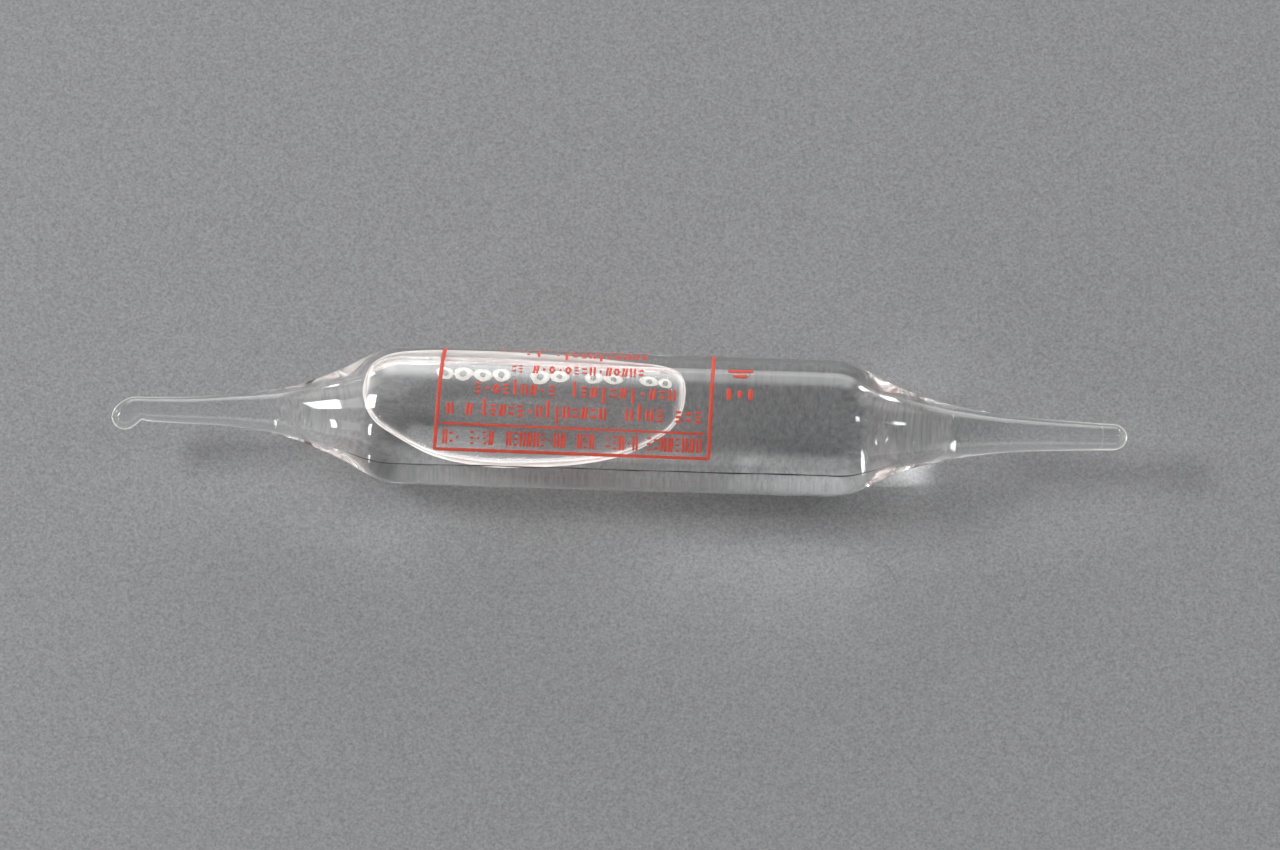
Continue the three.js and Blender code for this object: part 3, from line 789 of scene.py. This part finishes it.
class Film:
    """Domed strokes on the barrel. A stroke runs through points (x, arc) in mm, arc being
    the length round the barrel from the top, + to the front."""

    def __init__(self, kind, rough, seed):
        self.materials, self.height, self.slot = kind
        self.rough = rough
        self.verts, self.faces, self.face_slots = [], [], []
        self.rng = random.Random(seed)

    def put(self, x, along, lift):
        angle = along / R
        radius = PRINT_BASE + lift
        return (x, -radius * math.sin(angle), radius * math.cos(angle))

    def stroke(self, path, width, closed=False, ends=0.5, step=0.09):
        """ends: length of each rounded end / width. step: spacing of the sections."""
        path = np.asarray(path, float)
        if closed:
            path = np.vstack([path, path[:1]])
        length = np.concatenate([[0], np.cumsum(np.linalg.norm(np.diff(path, axis=0), axis=1))])
        total = length[-1]
        count = max(4, int(math.ceil(total / step)))
        end = min(width * ends, total * 0.45)
        if closed:
            at = np.linspace(0, total, count, endpoint=False)
        else:
            at = np.concatenate([
                end * (1 - np.cos(np.linspace(0, math.pi / 2, 4))),
                np.linspace(end, total - end, max(2, count - 4))[1:-1],
                total - end * (1 - np.cos(np.linspace(math.pi / 2, 0, 4)))])
        centre = np.stack([np.interp(at, length, path[:, i]) for i in range(2)], 1)
        if closed:
            heading = np.roll(centre, -1, 0) - np.roll(centre, 1, 0)
        else:
            heading = np.gradient(centre, axis=0)
        heading /= np.linalg.norm(heading, axis=1, keepdims=True)
        normal = np.stack([-heading[:, 1], heading[:, 0]], 1)
        half = np.full(len(at), width / 2)
        if not closed:
            inwards = np.clip(np.minimum(at, total - at) / end, 0, 1)
            half *= np.maximum(0.16, np.sqrt(1 - (1 - inwards) ** 2))
        jitter = np.array([self.rng.uniform(-1, 1) for _ in at])
        jitter = (np.roll(jitter, 1) + 2 * jitter + np.roll(jitter, -1)) / 4
        half *= 1 + self.rough * jitter
        self.skin(centre, normal, half, closed)

    def skin(self, centre, normal, half, closed):
        sides = len(STROKE_SECTION)
        rows = []
        for i in range(len(centre)):
            start = len(self.verts)
            rows.append(tuple(range(start, start + sides)))
            for across, lift in STROKE_SECTION:
                x, along = centre[i] + normal[i] * half[i] * across
                self.verts.append(self.put(x, along, self.height * lift))
        pairs = list(zip(rows, rows[1:]))
        if closed:
            pairs.append((rows[-1], rows[0]))
        for row, following in pairs:
            for k in range(sides):
                k2 = (k + 1) % sides
                self.faces.append((row[k], row[k2], following[k2], following[k]))
                self.face_slots.append(1 if k == sides - 1 else 0)
        if not closed:
            self.faces += [rows[0][::-1], rows[-1]]
            self.face_slots += [0, 0]

    def build(self, name, cad_node):
        ob = new_object(name, self.verts, self.faces, self.materials, self.face_slots)
        register(ob, "ampoule", cad_node)


def arc(degrees):
    return math.radians(degrees) * R


PRINT_MID_X = -3.2     # where base lines stand at their stated angle
SLOPE = 0.09           # degrees that base lines turn to the front per mm of x
RULE_SLOPE = 0.13


def line_arc(degrees, x, slope=SLOPE):
    return arc(degrees + slope * (x - PRINT_MID_X))


# Frame: outer edges in mm and degrees, line width, and lean of the end lines in mm per degree
FRAME_L, FRAME_R, FRAME_FRONT, FRAME_BACK = -13.06, 6.60, 48.4, -88.0
FRAME_LINE = 0.27
FRAME_LEAN_L, FRAME_LEAN_R = -0.0042, -0.0016


def build_frame():
    film = Film(RED, rough=0.22, seed=3)
    inset = FRAME_LINE / 2
    turn = FRAME_BACK - FRAME_FRONT
    left_x, right_x = FRAME_L + inset, FRAME_R - inset
    front_left = (left_x, line_arc(FRAME_FRONT, FRAME_L) - inset)
    front_right = (right_x, line_arc(FRAME_FRONT, FRAME_R) - inset)
    back_left = (left_x + FRAME_LEAN_L * turn, line_arc(FRAME_BACK, FRAME_L) + inset)
    back_right = (right_x + FRAME_LEAN_R * turn, line_arc(FRAME_BACK, FRAME_R) + inset)
    corners = [front_left, front_right, back_right, back_left]
    path = []
    for start, end in zip(corners, corners[1:] + corners[:1]):
        for share in np.linspace(0, 1, 60, endpoint=False):
            path.append([a + (b - a) * share for a, b in zip(start, end)])
    film.stroke(path, FRAME_LINE, closed=True, step=0.12)
    film.build("frame_print", "enamel_frame")


def build_rule():
    film = Film(RED, rough=0.25, seed=4)
    angle, left_x, right_x = 24.6, -12.5, 6.15
    path = [(x, line_arc(angle, x, RULE_SLOPE)) for x in np.linspace(left_x, right_x, 60)]
    film.stroke(path, width=0.18, step=0.12)
    film.build("rule_print", "enamel_rule")


# Abstract marks, none of them a letter: line width / text line width, then strokes through
# points (x / cell width, arc / cell height) from the middle of the cell
MARKS = {
    "bars": (1.0, [[(-0.28, -0.5), (-0.28, 0.5)], [(0.28, -0.5), (0.28, 0.5)]]),
    "equals": (1.0, [[(-0.40, -0.26), (0.40, -0.26)], [(-0.40, 0.26), (0.40, 0.26)]]),
    "stack": (0.95, [[(-0.36, rise), (0.36, rise)] for rise in (-0.38, 0.0, 0.38)]),
    "slashes": (1.0, [[(-0.32, 0.5), (-0.12, -0.5)], [(0.12, 0.5), (0.32, -0.5)]]),
    "lozenge": (0.95, [[(-0.36, 0.0), (0.0, -0.42), (0.36, 0.0), (0.0, 0.42)]]),
    "block": (None, [[(-0.20, 0.0), (0.20, 0.0)]]),      # as wide as its cell allows
    "tall": (1.1, [[(0.0, -0.95), (0.0, 0.5)]]),
    "drop": (1.1, [[(0.0, -0.5), (0.0, 0.95)]]),
}
SMALL_KINDS = ["bars", "equals", "stack", "slashes", "lozenge", "block", "tall", "drop",
               "bars", "stack"]
CAPITAL_KINDS = ["bars", "stack", "bars", "slashes", "equals", "bars", "block", "stack"]

# Lines of marks: name, degrees round, height, pitch, line width, kinds, words as x from, to
LINES = [
    ("title", -72.0, 0.92, 0.60, 0.23, SMALL_KINDS, [(-8.6, -4.9), (-4.3, 2.1)]),
    ("heading", -52.6, 0.86, 0.60, 0.185, SMALL_KINDS, [(-6.9, -5.4), (-4.7, 2.0)]),
    ("substance", -28.6, 0.86, 0.58, 0.17, SMALL_KINDS, [(-7.7, -6.8), (-6.2, 1.8)]),
    ("compound", -7.0, 0.86, 0.68, 0.20, SMALL_KINDS, [(-10.3, -4.4), (-3.5, 4.1)]),
    ("dose", 11.6, 0.88, 0.66, 0.21, SMALL_KINDS,
     [(-12.2, -11.6), (-10.9, -10.2), (-9.8, -0.8), (0.4, 3.3), (3.9, 6.0)]),
    ("warning", 35.4, 1.10, 0.50, 0.18, CAPITAL_KINDS,
     [(-12.4, -11.1), (-10.5, -8.7), (-7.9, -3.6), (-2.9, -1.6), (-0.9, 1.5), (2.0, 6.0)]),
]
MARK_WIDTH = 0.86      # mark width / cell pitch


def draw_mark(film, kind, x, along, width, height, line):
    scale, strokes = MARKS[kind]
    if kind == "block":
        line, ends = min(height * 0.5, width * 0.55), 0.3
    else:
        line, ends = line * scale, 0.5
    for points in strokes:
        film.stroke([(x + dx * width, along + ds * height) for dx, ds in points], line,
                    closed=kind == "lozenge", ends=ends)


def build_words():
    for name, angle, height, pitch, line, kinds, words in LINES:
        for i, (start, end) in enumerate(words):
            film = Film(RED, rough=0.20, seed=len(name) * 31 + i * 7 + 5)
            count = max(1, round((end - start) / pitch))
            cell = (end - start) / count
            last = None
            for c in range(count):
                last = rng.choice([kind for kind in kinds if kind != last])
                x = start + (c + 0.5) * cell
                draw_mark(film, last, x, line_arc(angle, x), cell * MARK_WIDTH, height, line)
            film.build(f"{name}_marks_{i + 1}", f"{name}_word_{i + 1}")


# Two marks to the right of the frame. Strokes: x, degrees from, to, and line width.
SIDE_BARS = [(7.78, -14.2, -3.4, 0.36), (8.55, -12.6, -5.6, 0.36), (9.30, -14.2, -3.4, 0.36)]
# Strokes: degrees, x from, to, and line width
SIDE_DASHES = [(-34.0, 7.65, 9.5, 0.38), (-27.6, 8.05, 9.1, 0.34)]


def build_side_marks():
    film = Film(RED, rough=0.22, seed=40)
    for x, start, end, line in SIDE_BARS:
        film.stroke([(x, arc(start)), (x, arc(end))], line)
    film.build("side_marks_1", "side_mark_1")
    film = Film(RED, rough=0.22, seed=41)
    for angle, start, end, line in SIDE_DASHES:
        film.stroke([(start, arc(angle)), (end, arc(angle))], line)
    film.build("side_marks_2", "side_mark_2")


# White loops and dots, brushed on the back
LOOP_BACK, LOOP_FRONT = -133.0, -108.0      # degrees
LOOP_PITCH, LOOP_MARGIN = 1.40, 0.18
LOOP_HALF_X, LOOP_HALF_ARC, LOOP_LINE = 0.47, 0.80, 0.44
# Groups: name, left edge x, number of loops
LOOP_GROUPS = [("first", -13.55, 4), ("second", -6.55, 2), ("third", -2.6, 2), ("fourth", 1.35, 2)]
DOT_XS = (-7.15, -3.2, 0.72)


def build_loops():
    for group, (name, left_x, loops) in enumerate(LOOP_GROUPS):
        film = Film(WHITE, rough=0.28, seed=60 + group)
        for k in range(loops):
            mid_x = left_x + LOOP_MARGIN + (k + 0.5) * LOOP_PITCH + rng.uniform(-0.04, 0.04)
            mid_arc = arc((LOOP_BACK + LOOP_FRONT) / 2 + rng.uniform(-1.2, 1.2))
            half_x = LOOP_HALF_X * rng.uniform(0.94, 1.06)
            half_arc = LOOP_HALF_ARC * rng.uniform(0.9, 1.1)
            lean = rng.uniform(-0.12, 0.12)
            loop = []
            for angle in np.linspace(0, 2 * math.pi, 40, endpoint=False):
                dx, ds = half_x * math.cos(angle), half_arc * math.sin(angle)
                loop.append((mid_x + dx + lean * ds, mid_arc + ds))
            film.stroke(loop, LOOP_LINE * rng.uniform(0.9, 1.15), closed=True, step=0.08)
        film.build(f"{name}_brushed_loops", f"{name}_paint_loops")


def build_dots():
    for i, x in enumerate(DOT_XS):
        film = Film(WHITE, rough=0.2, seed=80 + i)
        film.stroke([(x - 0.10, arc(-113.2)), (x + 0.10, arc(-113.6))], width=0.40, ends=0.4)
        film.build(f"brushed_dot_{i + 1}", f"paint_dot_{i + 1}")


build_words()
build_frame()
build_rule()
build_side_marks()
build_loops()
build_dots()


# -------------------------------------------------------- the studio, metres
FLOOR_HALF = 1.6
FLOOR_CLEAR = 0.000004      # gap under the barrel


def card_material(name):
    material, shader = new_material(name)
    grain = shader.noise(shader.coords(), scale=5200.0, detail=4.0, roughness=0.62)
    colour = shader.ramp(grain, (0.3, (0.190, 0.194, 0.200)), (0.7, (0.335, 0.341, 0.349)))
    shader.finish(shader.add("BsdfPrincipled", {
        "Base Color": colour, "Roughness": 0.6, "Specular IOR Level": 0.35,
        "Normal": shader.bump(grain, strength=0.5, distance=2e-5)}))
    return material


def build_floor():
    z = -R * MM - FLOOR_CLEAR
    mesh = bpy.data.meshes.new("floor")
    corners = [(x * FLOOR_HALF, y * FLOOR_HALF, z) for x, y in ((-1, -1), (1, -1), (1, 1), (-1, 1))]
    mesh.from_pydata(corners, [], [(0, 1, 2, 3)])
    ob = bpy.data.objects.new("floor", mesh)
    scene.collection.objects.link(ob)
    mesh.materials.append(card_material("pale_card"))


def build_world():
    scene.world = bpy.data.worlds.new("studio")
    shader = Shader(scene.world, "World")
    axes = shader.split(shader.coords("Generated"))
    # colours by height: 0 is the horizon, 1 straight up
    sky = shader.ramp(axes["Z"], (0.0, (2.5, 2.43, 2.33)), (0.08, (1.3, 1.28, 1.25)),
                      (0.20, (0.62, 0.61, 0.60)), (0.50, (0.46, 0.46, 0.47)),
                      (1.0, (0.46, 0.46, 0.47)))
    background = shader.add("Background", {"Color": sky, "Strength": 0.42})
    # paler low down to the left and right, which rims the two tips
    side_sky = shader.ramp(axes["Z"], (0.0, (1.0, 0.98, 0.94)), (0.30, (0.85, 0.84, 0.81)),
                           (0.62, (0.0, 0.0, 0.0)))
    side_gain = 1.4
    sideways = shader.maths("MULTIPLY", axes["X"], axes["X"])
    strength = shader.maths("MULTIPLY", sideways, side_gain)
    sides = shader.add("Background", {"Color": side_sky, "Strength": strength})
    shader.finish(shader.join(background, sides))


def soft_edges(lamp, edge):
    """Fades a panel light to its edges, as a diffuser cloth does. edge: share faded, x and y."""
    shader = Shader(lamp, "Light")
    place = shader.split(shader.add("NewGeometry").outputs["Parametric"])
    fades = []
    for axis, share in zip("XY", edge):
        off_centre = shader.maths("ABSOLUTE", shader.maths("SUBTRACT", place[axis], 0.5))
        fades.append(shader.remap(off_centre, 0.5 - share, 0.5, to=(1.0, 0.0)))
    shader.finish(shader.add("Emission", {"Strength": shader.maths("MULTIPLY", *fades)}))


def direction(azimuth, elevation):
    """Unit vector in degrees. Azimuth 0 is the front, 90 the right."""
    a, e = math.radians(azimuth), math.radians(elevation)
    return Vector((math.sin(a) * math.cos(e), -math.cos(a) * math.cos(e), math.sin(e)))


def area(name, azimuth, elevation, distance, size, power, edge, colour=(1, 1, 1), turn=0.0):
    """A panel light facing the origin, turned by turn degrees about its own axis."""
    towards = direction(azimuth, elevation)
    lamp = bpy.data.lights.new(name, "AREA")
    lamp.shape = "RECTANGLE"
    lamp.size, lamp.size_y = size
    lamp.energy = power
    lamp.color = colour
    soft_edges(lamp, edge)
    ob = bpy.data.objects.new(name, lamp)
    ob.location = towards * distance
    ob.rotation_mode = "QUATERNION"
    spin = Quaternion((0, 0, 1), math.radians(turn))
    ob.rotation_quaternion = (-towards).to_track_quat("-Z", "Y") @ spin
    scene.collection.objects.link(ob)


def build_lights():
    area("left_softbox", azimuth=-101.0, elevation=40.0, distance=0.75, size=(0.30, 0.15),
         power=4.2, edge=(0.14, 0.14))
    area("right_back_window", azimuth=143.0, elevation=10.0, distance=0.75, size=(0.10, 0.12),
         power=1.0, edge=(0.25, 0.2))
    area("right_small_window", azimuth=95.0, elevation=45.0, distance=0.75, size=(0.12, 0.10),
         power=0.75, edge=(0.25, 0.25))
    area("left_back_window", azimuth=-142.0, elevation=11.0, distance=0.75, size=(0.07, 0.08),
         power=0.42, edge=(0.25, 0.25))
    area("left_front_window", azimuth=-55.8, elevation=22.8, distance=0.75, size=(0.050, 0.27),
         power=1.05, edge=(0.2, 0.2), turn=35.0)
    area("back_panel", azimuth=180.0, elevation=18.5, distance=1.0, size=(1.15, 0.74),
         power=9.5, edge=(0.22, 0.42))
    area("back_low_panel", azimuth=180.0, elevation=5.5, distance=0.98, size=(1.15, 0.26),
         power=2.2, edge=(0.22, 0.2))
    area("front_panel", azimuth=0.0, elevation=14.0, distance=1.0, size=(1.4, 0.56),
         power=3.6, edge=(0.2, 0.4))
    for side, azimuth in (("right", 132.0), ("left", -132.0)):
        area(f"{side}_shoulder_panel", azimuth=azimuth, elevation=27.0, distance=0.80,
             size=(0.38, 0.34), power=0.62, edge=(0.34, 0.34), colour=(1.0, 0.90, 0.86))
    area("right_low_panel", azimuth=121.0, elevation=4.5, distance=0.80, size=(0.40, 0.13),
         power=0.40, edge=(0.36, 0.40), colour=(1.0, 0.93, 0.90))


def build_camera():
    """Looks down steeply from in front, through a long lens."""
    lean = 18.0                                        # degrees from the vertical
    distance = 0.62
    view_width = 91.136 * MM                           # width seen at the target
    aim_right, aim_up = 1.513 * MM, -0.2136 * MM       # target from the origin, in the view
    back = direction(azimuth=1.85, elevation=90 - lean)
    camera = bpy.data.cameras.new("camera")
    ob = bpy.data.objects.new("camera", camera)
    scene.collection.objects.link(ob)
    ob.rotation_mode = "QUATERNION"
    turned = (-back).to_track_quat("-Z", "Y")
    ob.rotation_quaternion = turned
    camera.sensor_width = 36.0
    camera.lens = camera.sensor_width * distance / view_width
    target = turned @ Vector((1, 0, 0)) * aim_right + turned @ Vector((0, 1, 0)) * aim_up
    ob.location = target + back * distance
    camera.clip_start, camera.clip_end = 0.01, 10.0
    scene.camera = ob


build_floor()
build_world()
build_lights()
build_camera()

scene.view_settings.view_transform = "Standard"
scene.cycles.sample_clamp_indirect = 0.0
scene.cycles.blur_glossy = 0.0
scene.cycles.max_bounces = 40
scene.cycles.transmission_bounces = 32
scene.cycles.glossy_bounces = 16
scene.cycles.diffuse_bounces = 5
scene.cycles.transparent_max_bounces = 40
